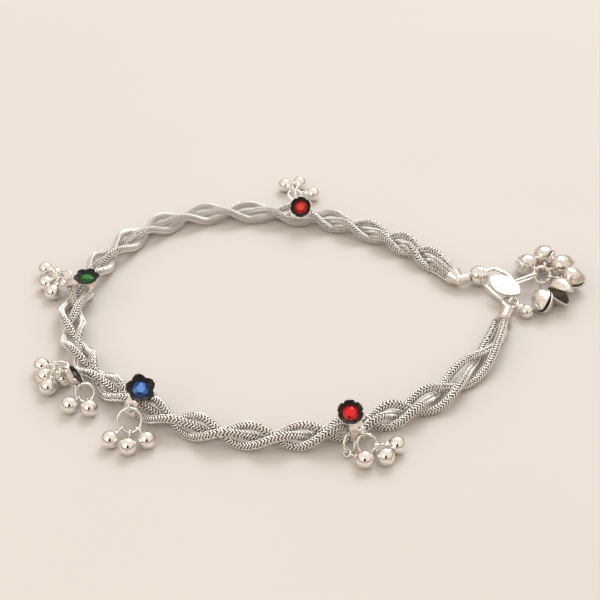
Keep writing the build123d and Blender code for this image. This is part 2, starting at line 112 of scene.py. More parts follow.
# The stones, each set by the flat table of its node's own stone.
TABLE_ABOVE_RIM = 0.08  # the node's table over the cup's rim
TABLE_SUNK = 0.25  # the cut stone's table under the node's
STONE_TABLE_R = 0.78
STONE_GIRDLE_R = 1.62
STONE_CROWN = 0.52  # from the table down to the girdle
STONE_BACK = 0.35  # from the girdle down to the point
STAR_DROP = 0.42  # share of the crown from the table down to the stars' outer corners
FACET_PAINTED_REFLECTION = 0.5  # painted reflection of the brightest facet, where the table has 1
FACET_TURN = 7.3  # by which the wave of painted reflections moves on from facet to facet, in radians
FACET_START = 1.9

# The ring that the pea bells hang from, and their eyes, stems and walls.
BELL_RING_AT = Vector((47.4, 6.0, 3.5))
BELL_RING_R = 1.6
BELL_RING_FACING = Vector((0, -0.82, 0.57)).normalized()
BELL_EYE_R = 0.72
EYE_SLACK = 0.1
EYE_WIRE = 0.42
STEM_SUNK = 0.3  # into the bell
COLLAR_R = 0.34
COLLAR_WIRE = 0.4
BELL_WALL = 0.24

# The pea bells: the angle about their ring where each one's eye rides, its centre and its half
# length and width in millimetres, how far its slit turns from facing up, and how far its tips part.
PEA_BELLS = (
    # name, angle, centre, half_long, half_wide, slit_turn, gape
    ("pea_bell_1", 140, (45.0, 11.8, 2.3), 3.1, 2.1, -20, 0.5),
    ("pea_bell_2", 75, (49.3, 14.2, 2.9), 3.2, 2.1, 12, 1.2),
    ("pea_bell_3", 35, (52.9, 11.0, 2.4), 3.5, 2.1, 15, 1.2),
    ("pea_bell_4", -12, (53.9, 5.8, 2.6), 2.6, 2.3, 35, 0.7),
    ("pea_bell_5", -50, (50.6, 0.6, 2.9), 2.9, 2.2, 35, 2.4),
    ("pea_bell_6", -100, (46.45, -2.1, 2.4), 3.0, 2.1, -35, 0.4),
)
BUD_FULLNESS = 0.75  # the greatest width of a bell's curve, as a share of its handles' reach
BUD_SHOULDER = 0.2  # the place of the curve's upper handle, as a share of half the length
LOBE_FOOT = 0.02  # where along its curve a lobe starts
LOBE_SPAN = 0.965  # how much of its curve a lobe follows
SLIT_HALF = 0.13
LIP_RISE = 0.3
LIP_WIDE = 0.4

# The nodes whose pieces have an operator of their own, and those that are cast, not polished.
MADE_APART = ("strand_", "petals_", "stone_", "clasp_leaf", "pea_bell_")
CAST = ("cup_", "cap_")

# The sharpest turn that is shaded as round, and how near two points are, in metres, when they
# become one: in a mesh that is made here, and in a copy of a node's.
SHARP_EDGE = radians(38)
WELD = 1e-7
NODE_WELD = 2e-6

# The stage, in metres: where the camera looks, its lights, and the room's colours from straight
# down, at 0, to straight up, at 1.
LOOKED_AT = Vector((-1.6, 2.2, 0.0)) * MM
SURFACE_HALF = 3.0
WINDOW_AT = (0.34, 1.02, 1.156)
WINDOW_SIZE = (1.02, 0.75)
WINDOW_COLOUR = (0.96, 1.02, 1.14)
FILL_AT = (-0.25, -0.30, 0.30)
FILL_SIZE = (0.30, 0.30)
FILL_COLOUR = (1.0, 0.95, 0.90)
ROOM = (
    # height, colour
    (0.0, (0.30, 0.22, 0.15)),
    (0.50, (0.26, 0.175, 0.11)),
    (0.58, (0.36, 0.26, 0.175)),
    (0.64, (0.96, 0.81, 0.66)),
    (1.0, (1.0, 0.94, 0.86)),
)
CARD_BEHIND = 0.05  # the camera
CARD_TOP = 0.35  # its width at the top, as a share of its width at the bottom
CARD_BLACK = (0.01, 0.01, 0.01)


def between(column, along):
    """A column of PLAIT at a place along it, on a smooth curve through the rows."""
    last = len(PLAIT) - 1
    row = min(sum(along >= start[ALONG] for start in PLAIT) - 1, last - 1)

    def slope(k):
        before, after = PLAIT[max(k - 1, 0)], PLAIT[min(k + 1, last)]
        return (after[column] - before[column]) / (after[ALONG] - before[ALONG])

    start, end = PLAIT[row], PLAIT[row + 1]
    step = end[ALONG] - start[ALONG]
    t = (along - start[ALONG]) / step
    return (
        start[column] * (2 * t**3 - 3 * t**2 + 1)
        + slope(row) * step * (t**3 - 2 * t**2 + t)
        + end[column] * (3 * t**2 - 2 * t**3)
        + slope(row + 1) * step * (t**3 - t**2)
    )


def chain_point(number, along, step=0.25):
    """The centre of one chain, in metres, at a place along the plait."""
    here = max(along - step, 0), min(along + step, PLAIT_END)
    start, end = (Vector((between(X, place), between(Y, place), 0)) for place in here)
    forward = (end - start).normalized()
    outward = Vector((-forward.y, forward.x, 0))
    turned = radians(between(TURNED, along) + 360 / STRANDS * number)
    rise = between(RISE, along)
    middle = Vector((between(X, along), between(Y, along), CHAIN_D / 2 + rise))
    place = middle + outward * between(SWING, along) * sin(turned)
    place.z += rise * sin(2 * turned)
    return place * MM


class Socket:
    """A node's output, on which + - * and ** add Math nodes."""

    def __init__(self, tree, link):
        self.tree = tree
        self.link = link

    def math(self, operation, *values):
        return self.tree.add("ShaderNodeMath", {"operation": operation}, *values)

    def __add__(self, other):
        return self.math("ADD", self, other)

    def __sub__(self, other):
        return self.math("SUBTRACT", self, other)

    def __rsub__(self, other):
        return self.math("SUBTRACT", other, self)

    def __mul__(self, other):
        return self.math("MULTIPLY", self, other)

    def __pow__(self, other):
        return self.math("POWER", self, other)

    __radd__ = __add__
    __rmul__ = __mul__

    def clamped(self):
        return self.tree.add("ShaderNodeClamp", {}, self)

    def mix(self, low, high):
        """A colour between two others, by this value."""
        return self.tree.add(
            "ShaderNodeMix", {"data_type": "RGBA"}, Factor=self, A=low, B=high, output="Result"
        )


class Tree:
    """A node tree that nodes are added to."""

    def __init__(self, tree):
        self.tree = tree

    def add(self, kind, settings, *inputs, output=0, **named):
        """Adds a node, with its settings first and then its sockets, and returns one output."""
        node = self.tree.nodes.new(kind)
        for name, value in settings.items():
            if name == "stops":
                self.set_stops(node.color_ramp, value)
            else:
                setattr(node, name, value)
        for socket, value in zip(node.inputs, inputs):
            self.put(socket, value)
        for name, value in named.items():
            self.put(self.open_socket(node.inputs, name), value)
        if isinstance(output, str):
            return Socket(self, self.open_socket(node.outputs, output))
        return Socket(self, node.outputs[output])

    @staticmethod
    def open_socket(sockets, name):
        """The socket of that name that is in use, since a node may hide others of the same name."""
        return next(s for s in sockets if s.enabled and s.name.replace(" ", "_") == name)

    @staticmethod
    def set_stops(ramp, stops):
        """Gives a colour ramp its stops, each a place and a colour."""
        while len(ramp.elements) < len(stops):
            ramp.elements.new(1.0)
        for element, (place, colour) in zip(ramp.elements, stops):
            element.position = place
            element.color = (*colour, 1.0)

    def put(self, socket, value):
        """Links a socket to an output, or sets its own number or colour."""
        if isinstance(value, Socket):
            self.tree.links.new(value.link, socket)
        elif socket.type == "RGBA":
            socket.default_value = (*value, 1.0)
        else:
            socket.default_value = value


class Finish(Tree):
    """A material and its principled surface."""

    def __init__(self, name, **surface):
        self.material = bpy.data.materials.new(name)
        self.material.use_nodes = True
        super().__init__(self.material.node_tree)
        self.surface = self.tree.nodes["Principled BSDF"]
        self.paint(**surface)

    def paint(self, **surface):
        """Sets or links sockets of the surface, each named with _ for a space."""
        for name, value in surface.items():
            self.put(self.surface.inputs[name.replace("_", " ")], value)
        return self

    def noise(self, scale, detail=2.0, roughness=0.5):
        """Clouds over the piece, the smaller the greater the scale."""
        place = self.add("ShaderNodeTexCoord", {}, output="Object")
        return self.add(
            "ShaderNodeTexNoise",
            {},
            Vector=place,
            Scale=scale,
            Detail=detail,
            Roughness=roughness,
        )

    def cells(self, scale, smoothness=0.6):
        """Rounded hollows side by side, the smaller the greater the scale."""
        place = self.add("ShaderNodeTexCoord", {}, output="Object")
        return self.add(
            "ShaderNodeTexVoronoi",
            {"feature": "SMOOTH_F1"},
            Vector=place,
            Scale=scale,
            Smoothness=smoothness,
        )

    def bump(self, height, strength, distance):
        """The relief that a height gives, which is as deep as the distance in metres."""
        return self.add("ShaderNodeBump", {}, Strength=strength, Distance=distance, Height=height)


def polished_silver(settings):
    """Bright silver with the faint scratches and soft clouding of wear."""
    finish = Finish("polished_silver", Metallic=1.0)
    cloud = finish.noise(scale=900, detail=3.0)
    scratches = finish.noise(scale=9000)
    height = finish.noise(scale=700, detail=1.0) + scratches * 0.05
    return finish.paint(
        Base_Color=cloud.mix(settings.silver, settings.silver_warm),
        Roughness=settings.polish + cloud * 0.08,
        Normal=finish.bump(height, strength=0.08, distance=0.3 * MM),
    ).material


def cast_silver(settings):
    """Silver as it comes from the mould: duller, and dark in its low places."""
    finish = Finish("cast_silver", Metallic=1.0)
    grain = finish.noise(scale=2600, detail=4.0, roughness=0.6)
    return finish.paint(
        Base_Color=grain.mix(settings.silver, settings.tarnish_and_painted_shade),
        Roughness=settings.polish + 0.10 + grain * 0.18,
        Normal=finish.bump(grain, strength=0.25, distance=0.2 * MM),
    ).material


def worn_silver(settings):
    """The bells' silver: bright, with a beaten surface and brown in its dents."""
    finish = Finish("worn_silver", Metallic=1.0)
    grain = finish.noise(scale=2200, detail=3.0, roughness=0.6)
    dents = finish.cells(scale=1900)
    worn = (grain * 1.8 - 0.4).clamped()
    return finish.paint(
        Base_Color=worn.mix(settings.tarnish_and_painted_shade, settings.silver),
        Roughness=settings.polish + 0.20 - worn * 0.1,
        Normal=finish.bump(dents * 0.6 + grain, strength=0.35, distance=0.2 * MM),
    ).material


def chain_silver(settings):
    """The wire of the links: bright on the chain's outside, with painted shade on their inner side,
    where the chain's grooves are in shade.
    """
    finish = Finish("chain_silver", Metallic=1.0)
    crest = finish.add("ShaderNodeAttribute", {"attribute_name": "crest"}, output="Fac")
    cloud = finish.noise(scale=1500, detail=3.0)
    # polished is 0 where the wire is painted as shade and 1 on its bright crest, with a little random
    # clouding
    polished = (crest * 1.2 - cloud * 0.2).clamped()
    return finish.paint(
        Base_Color=polished.mix(settings.painted_shade, settings.silver),
        Roughness=settings.polish + 0.30 - polished * 0.24,
    ).material


def tarnished_silver(settings):
    """Painted shade: the dark heart of a chain and the inside of a bell, coloured dark for the shade
    in them.
    """
    finish = Finish("tarnished_silver", Metallic=0.8)
    grain = finish.noise(scale=3000)
    return finish.paint(
        Base_Color=grain.mix(settings.painted_shade, settings.tarnish_and_painted_shade),
        Roughness=0.45 + grain * 0.2,
    ).material


def stamped_silver(settings):
    """Bright plate whose face is struck all over with shallow dents."""
    finish = Finish("stamped_silver", Metallic=1.0)
    dents = finish.cells(scale=2100)
    cloud = finish.noise(scale=1200)
    struck = (dents * 2.2 - 0.3 + cloud * 0.3).clamped()
    height = dents + finish.noise(scale=3500) * 0.3
    return finish.paint(
        Base_Color=struck.mix(settings.silver_warm, settings.tarnish_and_painted_shade),
        Roughness=settings.polish + 0.3,
        Normal=finish.bump(height, strength=0.22, distance=0.2 * MM),
    ).material


def dark_enamel(settings):
    """Nearly black enamel with a greyish bloom and little gloss."""
    finish = Finish("dark_enamel", Specular_IOR_Level=0.2, Coat_Weight=0.1, Coat_Roughness=0.2)
    bloom = finish.noise(scale=1400, detail=4.0, roughness=0.6)
    return finish.paint(
        Base_Color=(bloom**2.0).mix(settings.enamel, settings.enamel_bloom),
        Roughness=0.34 + bloom * 0.2,
        Normal=finish.bump(bloom, strength=0.15, distance=0.2 * MM),
    ).material


def stone_finish(name, table, facets):
    """A cut stone, whose facets are painted lighter or darker: painted reflections of the light that
    comes back out of them.
    """
    finish = Finish(
        name, Specular_IOR_Level=0.35, Coat_Weight=0.15, Coat_Roughness=0.02, Roughness=0.08
    )
    glow = finish.add("ShaderNodeAttribute", {"attribute_name": "glow"}, output="Fac")
    spread = (glow + (finish.noise(scale=1100) - 0.5) * 0.35).clamped()
    return finish.paint(Base_Color=spread.mix(facets, table)).material


def floor_finish(settings):
    """A plain pale surface with a hardly visible mottling."""
    finish = Finish("pale_surface", Roughness=0.75)
    mottling = finish.noise(scale=9, detail=3.0)
    return finish.paint(Base_Color=mottling.mix(settings.floor, settings.floor_low)).material


FINISHES = {}


def finish_of(make, settings):
    """A finish that is made once, for all the pieces that have it."""
    if make not in FINISHES:
        FINISHES[make] = make(settings)
    return FINISHES[make]


def new_piece(name, mesh, *materials):
    """An object of a mesh, with its materials in order."""
    piece = bpy.data.objects.new(name, mesh)
    bpy.context.scene.collection.objects.link(piece)
    for material in materials:
        mesh.materials.append(material)
    return piece


def hand_over(piece, node):
    """Gives a finished piece to the frame, in place of the node that it stands for."""
    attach(piece, ROOT)
    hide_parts(node)


def mesh_of(name, vertices, faces, smooth=True):
    """A mesh of points in metres and faces of their numbers."""
    mesh = bpy.data.meshes.new(name)
    mesh.from_pydata(vertices, [], faces)
    mesh.polygons.foreach_set("use_smooth", [smooth] * len(faces))
    mesh.validate()
    return mesh


def ring_faces(rings, sides, closed):
    """The faces of a tube of rings of points, each ring with the same number of sides."""
    last = rings if closed else rings - 1
    faces = []
    for k in range(last):
        here, there = k * sides, (k + 1) % rings * sides
        for side in range(sides):
            after = (side + 1) % sides
            faces.append((here + side, here + after, there + after, there + side))
    return faces


def wire_mesh(name, points, wire, sides, closed):
    """A round wire through points, with flat ends unless it is closed."""
    count = len(points)
    vertices = []
    middle = sum(points, Vector()) / count
    normal = Vector((0.2, 0.3, 1.0))  # a start that no open wire here runs along
    for k, point in enumerate(points):
        before = points[k - 1] if closed or k else point
        after = points[(k + 1) % count] if closed or k < count - 1 else point
        along = (after - before).normalized()
        if closed:
            normal = point - middle
        normal = (normal - along * normal.dot(along)).normalized()
        across = along.cross(normal)
        for side in range(sides):
            turn = 2 * pi * side / sides
            vertices.append(point + (normal * cos(turn) + across * sin(turn)) * wire / 2)
    faces = ring_faces(count, sides, closed)
    if not closed:
        faces.append(tuple(range(sides)))
        faces.append(tuple(range((count - 1) * sides, count * sides)))
    mesh = mesh_of(name, vertices, faces)
    outward(mesh)
    return mesh


def link_mesh(name, wire, length, reach, steps=32, sides=5):
    """One link: a ring of wire bent forward and back along the chain, in a V on each of its sides."""
    points = []
    for k in range(steps):
        turn = 2 * pi * k / steps
        forward = 2 * abs(LINK_VEES * k / steps % 1 - 0.5)
        out = reach * (1 - LINK_DIP * (1 - forward) ** 2)
        points.append(Vector((length * (forward - 0.5), out * cos(turn), out * sin(turn))))
    mesh = wire_mesh(name, points, wire, sides, True)
    # A mask of painted shade: 0 on the inner side of the wire, where the chain's grooves are in
    # shade, 1 on its outer crest.
    crest = mesh.attributes.new("crest", "FLOAT", "POINT")
    lowest, highest = reach - wire * SHADE_PAINTED_FROM, reach - wire * SHADE_PAINTED_UNTIL
    for vertex, mark in zip(mesh.vertices, crest.data):
        from_axis = hypot(vertex.co.y, vertex.co.z)
        mark.value = min(max((from_axis - lowest) / (highest - lowest), 0.0), 1.0)
    return mesh


def foxtail_tree():
    """Geometry Nodes that set a link at every pitch along a route, round a dark core of painted
    shade.
    """
    group = bpy.data.node_groups.new("foxtail_chain", "GeometryNodeTree")
    ports = (
        ("Route", "NodeSocketObject"),
        ("Link", "NodeSocketObject"),
        ("Pitch", "NodeSocketFloat"),
        ("Core Radius", "NodeSocketFloat"),
        ("Unevenness", "NodeSocketFloat"),
        ("Link Finish", "NodeSocketMaterial"),
        ("Core Finish", "NodeSocketMaterial"),
    )
    group.interface.new_socket("Geometry", in_out="INPUT", socket_type="NodeSocketGeometry")
    for name, kind in ports:
        group.interface.new_socket(name, in_out="INPUT", socket_type=kind)
    group.interface.new_socket("Geometry", in_out="OUTPUT", socket_type="NodeSocketGeometry")
    tree = Tree(group)
    inputs = group.nodes.new("NodeGroupInput")

    def port(name):
        return Socket(tree, inputs.outputs[name])

    route = tree.add("GeometryNodeObjectInfo", {}, port("Route"), output="Geometry")
    link = tree.add("GeometryNodeObjectInfo", {}, port("Link"), output="Geometry")
    places = tree.add(
        "GeometryNodeResampleCurve",
        {"mode": "LENGTH"},
        Curve=route,
        Length=port("Pitch"),
        output="Curve",
    )
    tangent = tree.add("GeometryNodeInputTangent", {})
    normal = tree.add("GeometryNodeInputNormal", {})
    facing = tree.add(
        "FunctionNodeAlignRotationToVector", {"axis": "X"}, Vector=tangent, output="Rotation"
    )
    facing = tree.add(
        "FunctionNodeAlignRotationToVector",
        {"axis": "Z", "pivot_axis": "X"},
        Rotation=facing,
        Vector=normal,
        output="Rotation",
    )
    least = port("Unevenness") * -1.0
    wobble = tree.add(
        "FunctionNodeRandomValue",
        {"data_type": "FLOAT"},
        Min=least,
        Max=port("Unevenness"),
        Seed=7,
        output="Value",
    )
    turn = tree.add("ShaderNodeCombineXYZ", {}, wobble, wobble, 0.0)
    turn = tree.add("FunctionNodeEulerToRotation", {}, turn, output="Rotation")
    facing = tree.add(
        "FunctionNodeRotateRotation",
        {"rotation_space": "LOCAL"},
        Rotation=facing,
        Rotate_By=turn,
        output="Rotation",
    )
    links = tree.add(
        "GeometryNodeInstanceOnPoints",
        {},
        Points=places,
        Instance=link,
        Rotation=facing,
        output="Instances",
    )
    links = tree.add("GeometryNodeRealizeInstances", {}, Geometry=links, output="Geometry")
    links = tree.add("GeometryNodeSetMaterial", {}, Geometry=links, Material=port("Link Finish"))
    section = tree.add(
        "GeometryNodeCurvePrimitiveCircle",
        {"mode": "RADIUS"},
        Resolution=CORE_SIDES,
        Radius=port("Core Radius"),
    )
    core = tree.add("GeometryNodeCurveToMesh", {}, places, section, Fill_Caps=True, output="Mesh")
    core = tree.add("GeometryNodeSetMaterial", {}, Geometry=core, Material=port("Core Finish"))
    join = group.nodes.new("GeometryNodeJoinGeometry")
    for part in (core, links):
        group.links.new(part.link, join.inputs[0])
    outputs = group.nodes.new("NodeGroupOutput")
    group.links.new(join.outputs[0], outputs.inputs[0])
    return group


def grown(name, tree, values):
    """The plain mesh that a tree of Geometry Nodes makes from its named inputs."""
    host = new_piece(name + "_host", bpy.data.meshes.new(name + "_host"))
    modifier = host.modifiers.new("grow", "NODES")
    modifier.node_group = tree
    for item in tree.interface.items_tree:
        if item.in_out == "INPUT" and item.name in values:
            modifier[item.identifier] = values[item.name]
    graph = bpy.context.evaluated_depsgraph_get()
    mesh = bpy.data.meshes.new_from_object(
        host.evaluated_get(graph), preserve_all_data_layers=True, depsgraph=graph
    )
    mesh.name = name
    bpy.data.objects.remove(host)
    return mesh


def route_curve(name, points):
    """A smooth curve that follows a chain's route."""
    curve = bpy.data.curves.new(name, "CURVE")
    curve.dimensions = "3D"
    curve.resolution_u = 6
    spline = curve.splines.new("NURBS")
    spline.points.add(len(points) - 1)
    for control, point in zip(spline.points, points):
        control.co = (*point, 1.0)
    spline.order_u = 3
    spline.use_endpoint_u = True
    route = bpy.data.objects.new(name, curve)
    bpy.context.scene.collection.objects.link(route)
    return route


def flat_top(node, least_rise=0.05):
    """The centre and the facing of a node's largest flat face, of those that face up at all."""
    mesh = NODES[node].data
    faces = {}
    for polygon in mesh.polygons:
        if polygon.normal.z > least_rise:
            key = tuple(round(c, 2) for c in polygon.normal)
            faces.setdefault(key, []).append(polygon)
    largest = max(faces.values(), key=lambda group: sum(p.area for p in group))
    area = sum(p.area for p in largest)
    centre = sum((p.center * p.area for p in largest), Vector()) / area
    facing = sum((p.normal * p.area for p in largest), Vector()).normalized()
    return centre, facing


def level_frame(origin, facing, across=None):
    """A turn and a move to a place, with Z in a given direction, and X in another or level."""
    x_axis = across or Vector((-facing.y, facing.x, 0)).normalized()
    y_axis = facing.cross(x_axis).normalized()
    turn = Matrix((x_axis, y_axis, facing)).transposed()
    return Matrix.Translation(origin) @ turn.to_4x4()


def outline(turn, rim_r, petals, pointed):
    """How far a flower reaches at a turn from the middle of its first petal."""
    step = 2 * pi / petals
    place = abs((turn + step / 2) % step - step / 2)
    if pointed:
        low = POINT_NOTCH * rim_r
        return low + (rim_r - low) * (1 - place / (step / 2)) ** POINT_CURVE
    petal = rim_r * PETAL_SHARE
    ring = rim_r - petal
    return ring * cos(place) + (petal**2 - (ring * sin(place)) ** 2) ** 0.5


def petals_mesh(rim_r, petals, pointed, first, rings=12, sides=120):
    """The enamelled bowl of petals: each petal is hollow, and its sides rise to its neighbours'."""
    step = 2 * pi / petals

    def top(ring, side):
        turn = 2 * pi * side / sides
        edge = outline(turn, rim_r, petals, pointed) - EDGE_SHOWN
        out = edge * (ring + 1) / rings
        share = min(max((out - FLOOR_R) / (rim_r - FLOOR_R), 0.0), 1.0)
        height = -BOWL_DEEP * (1 - share) ** BOWL_CURVE
        from_middle = abs((turn + step / 2) % step - step / 2) / (step / 2)
        rise = PETAL_RISE * from_middle**2 * share * (1 - share) * 4
        turn += radians(first)
        return Vector((out * cos(turn), out * sin(turn), height + rise + ENAMEL_PROUD)) * MM

    upper = [top(ring, side) for ring in range(rings) for side in range(sides)]
    middle = Vector((0, 0, upper[0].z))
    drop = Vector((0, 0, -ENAMEL_T * MM))
    lower = [point + drop for point in upper]
    count = len(upper)
    vertices = upper + lower + [middle, middle + drop]
    grid = ring_faces(rings, sides, False)
    faces = [tuple(reversed(face)) for face in grid]
    faces += [tuple(count + corner for corner in face) for face in grid]
    outer = (rings - 1) * sides
    for side in range(sides):
        after = (side + 1) % sides
        faces.append((side, after, 2 * count))
        faces.append((count + after, count + side, 2 * count + 1))
        faces.append((outer + after, outer + side, count + outer + side, count + outer + after))
    return vertices, faces


def stone_mesh(sides=8):
    """A brilliant cut: its table, stars, kites and upper girdle facets, above a pointed back."""

    def ring(count, radius, height, shift=0.0):
        turns = [2 * pi * (k + shift) / count for k in range(count)]
        return [Vector((radius * cos(turn), radius * sin(turn), height)) * MM for turn in turns]

    star_r = (STONE_TABLE_R + STONE_GIRDLE_R) / 2
    table = ring(sides, STONE_TABLE_R, 0.0)
    stars = ring(sides, star_r, -STAR_DROP * STONE_CROWN, 0.5)
    girdle = ring(2 * sides, STONE_GIRDLE_R, -STONE_CROWN)
    vertices = table + stars + girdle + [Vector((0, 0, -STONE_CROWN - STONE_BACK)) * MM]
    star, rim, culet = sides, 2 * sides, 4 * sides
    faces = [tuple(range(sides))]
    for k in range(sides):
        after, before = (k + 1) % sides, (k - 1) % sides
        faces.append((k, star + k, after))
        faces.append((k, star + before, rim + 2 * k, star + k))
        faces.append((star + k, rim + 2 * k, rim + 2 * k + 1))
        faces.append((star + k, rim + 2 * k + 1, rim + (2 * k + 2) % (2 * sides)))
    for k in range(2 * sides):
        faces.append((rim + (k + 1) % (2 * sides), rim + k, culet))
    return vertices, faces


def outward(mesh):
    """Turns every face of a closed mesh outwards."""
    work = bmesh.new()
    work.from_mesh(mesh)
    bmesh.ops.remove_doubles(work, verts=work.verts, dist=WELD)
    bmesh.ops.recalc_face_normals(work, faces=work.faces)
    work.to_mesh(mesh)
    work.free()


def smooth_copy(node):
    """A node's own shape with its points joined, so that round surfaces shade as round."""
    mesh = NODES[node].data.copy()
    mesh.name = node + "_polished"
    work = bmesh.new()
    work.from_mesh(mesh)
    bmesh.ops.remove_doubles(work, verts=work.verts, dist=NODE_WELD)
    for face in work.faces:
        face.smooth = True
    for edge in work.edges:
        edge.smooth = len(edge.link_faces) == 2 and edge.calc_face_angle(0.0) < SHARP_EDGE
    work.to_mesh(mesh)
    work.free()
    mesh.materials.clear()
    return mesh


def ring_points(radius, across, up, steps=24):
    """Points round a circle in the plane of two directions, in metres."""
    turns = [2 * pi * k / steps for k in range(steps)]
    return [(across * cos(turn) + up * sin(turn)) * radius * MM for turn in turns]


def bud_point(share, half_long, half_wide):
    """A place on a bell's side, from its foot to its tip: how far out, and how far along."""
    rest = 1 - share
    reach = half_wide / BUD_FULLNESS
    out = 3 * reach * rest * share
    along = half_long * (share**3 - rest**3 + 3 * rest * share * (BUD_SHOULDER * share - rest))
    return out, along


def lobe_mesh(name, half_long, half_wide, rows=30, columns=22):
    """One half of a bell, on the X side, with a lip on its cut edge that fades at both ends."""
    vertices = []
    for row in range(rows + 1):
        share = LOBE_FOOT + LOBE_SPAN * row / rows
        out, along = bud_point(share, half_long, half_wide)
        for column in range(columns + 1):
            turn = pi * (column / columns - 0.5)
            from_edge = out * (pi / 2 - abs(turn))
            lip = LIP_RISE * exp(-2 * ((from_edge - LIP_WIDE / 2) / LIP_WIDE) ** 2)
            reach = out + lip * min(out, 1.0)
            vertices.append(Vector((reach * cos(turn), reach * sin(turn), along)) * MM)
    faces = []
    for row in range(rows):
        for column in range(columns):
            here = row * (columns + 1) + column
            faces.append((here, here + 1, here + columns + 2, here + columns + 1))
    return mesh_of(name, vertices, faces)


def joined(name, meshes):
    """One mesh of several."""
    work = bmesh.new()
    for mesh in meshes:
        work.from_mesh(mesh)
    whole = bpy.data.meshes.new(name)
    work.to_mesh(whole)
    work.free()
    return whole


def thickened(mesh, thickness, *materials):
    """A sheet with its thickness on the inner side, which takes the second material."""
    sheet = new_piece("sheet", mesh, *materials)
    solidify = sheet.modifiers.new("wall", "SOLIDIFY")
    solidify.thickness = thickness
    solidify.offset = -1.0
    solidify.material_offset = 1
    graph = bpy.context.evaluated_depsgraph_get()
    walled = bpy.data.meshes.new_from_object(sheet.evaluated_get(graph))
    bpy.data.objects.remove(sheet)
    return walled


def bell_mesh(name, worn, dark, angle, centre, half_long, half_wide, slit_turn, gape):
    """A bell of two lobes that part at their tips, with the stem and eye that it hangs from."""
    ring = level_frame(BELL_RING_AT, BELL_RING_FACING)
    flat = ring.to_3x3() @ Vector((cos(radians(angle)), sin(radians(angle)), 0))
    eye = BELL_RING_AT + flat * (BELL_RING_R + EYE_SLACK)
    axis = (Vector(centre) - eye).normalized()
    reach = (Vector(centre) - eye).length
    facing = (BELL_RING_FACING - axis * BELL_RING_FACING.dot(axis)).normalized()
    facing = Matrix.Rotation(radians(slit_turn), 3, axis) @ facing
    place = level_frame(eye * MM, axis, facing)
    foot = Vector((0, 0, reach - half_long)) * MM
    lean = atan2(gape / 2, 2 * half_long)
    parts = []
    for side in (1, -1):
        lobe = lobe_mesh("lobe", half_long, half_wide)
        lobe.transform(Matrix.Translation(Vector((0, 0, half_long)) * MM))
        lobe.transform(Matrix.Rotation(lean, 4, "Y"))
        lobe.transform(Matrix.Rotation(side * pi / 2, 4, "Z"))
        lobe.transform(Matrix.Translation(foot + Vector((0, side * SLIT_HALF, 0)) * MM))
        # The inner side of each lobe takes the dark finish: painted shade inside the bell.
        parts.append(thickened(lobe, BELL_WALL * MM, worn, dark))
    x_axis, y_axis, z_axis = Matrix.Identity(3)
    riding = place.to_3x3().inverted() @ BELL_RING_FACING.cross(flat)
    loop = wire_mesh("loop", ring_points(BELL_EYE_R, y_axis, z_axis), EYE_WIRE * MM, 10, True)
    loop.transform(Matrix.Rotation(atan2(riding.y, riding.x), 4, "Z"))
    parts.append(loop)
    start, end = z_axis * BELL_EYE_R * MM, foot + z_axis * STEM_SUNK * MM
    parts.append(wire_mesh("stem", [start, (start + end) / 2, end], EYE_WIRE * MM, 10, False))
    collar = [foot + point for point in ring_points(COLLAR_R, x_axis, y_axis)]
    parts.append(wire_mesh("collar", collar, COLLAR_WIRE * MM, 8, True))
    whole = joined(name, parts)
    whole.transform(place)
    return whole


class ChainSettings(bpy.types.PropertyGroup):
    """The links of the foxtail chains"""

    pitch: FloatProperty(
        name="Pitch",
        description="From one link to the next",
        default=0.60 * MM,
        subtype="DISTANCE",
    )
    wire: FloatProperty(
        name="Wire",
        description="Thickness of a link's wire",
        default=0.29 * MM,
        subtype="DISTANCE",
    )
    link_length: FloatProperty(
        name="Link length",
        description="Of a folded link along the chain",
        default=0.62 * MM,
        subtype="DISTANCE",
    )
    core_share: FloatProperty(
        name="Core",
        description="The dark core's radius as a share of the chain's",
        default=0.52,
        subtype="FACTOR",
        min=0.0,
        max=1.0,
    )
    unevenness: FloatProperty(
        name="Unevenness",
        description="How far a link leans by chance",
        default=radians(5),
        subtype="ANGLE",
    )


class FinishSettings(bpy.types.PropertyGroup):
    """The colours of silver and enamel"""

    silver: FloatVectorProperty(
        name="Silver",
        description="Where it is brightest",
        default=(0.97, 0.95, 0.92),
        subtype="COLOR",
    )
    silver_warm: FloatVectorProperty(
        name="Warm silver",
        description="Where it is clouded",
        default=(0.83, 0.79, 0.74),
        subtype="COLOR",
    )
    # Painted shade: the colour that stands for the shade in the chains' grooves and core and inside
    # the bells.
    painted_shade: FloatVectorProperty(
        name="Tarnish",
        description="In the hollows",
        default=(0.10, 0.083, 0.070),
        subtype="COLOR",
    )
    # Light tarnish on castings, bells and the leaf, and also the lighter end of the painted shade in
    # the chains' cores and inside the bells.
    tarnish_and_painted_shade: FloatVectorProperty(
        name="Light tarnish",
        description="On castings, bells and the leaf",
        default=(0.58, 0.52, 0.46),
        subtype="COLOR",
    )
    enamel: FloatVectorProperty(
        name="Enamel",
        description="Of the petals",
        default=(0.008, 0.008, 0.009),
        subtype="COLOR",
    )
    enamel_bloom: FloatVectorProperty(
        name="Enamel bloom",
        description="Where its gloss is worn",
        default=(0.022, 0.019, 0.018),
        subtype="COLOR",
    )
    polish: FloatProperty(
        name="Polish",
        description="Roughness of polished silver",
        default=0.09,
        subtype="FACTOR",
        min=0.0,
        max=1.0,
    )


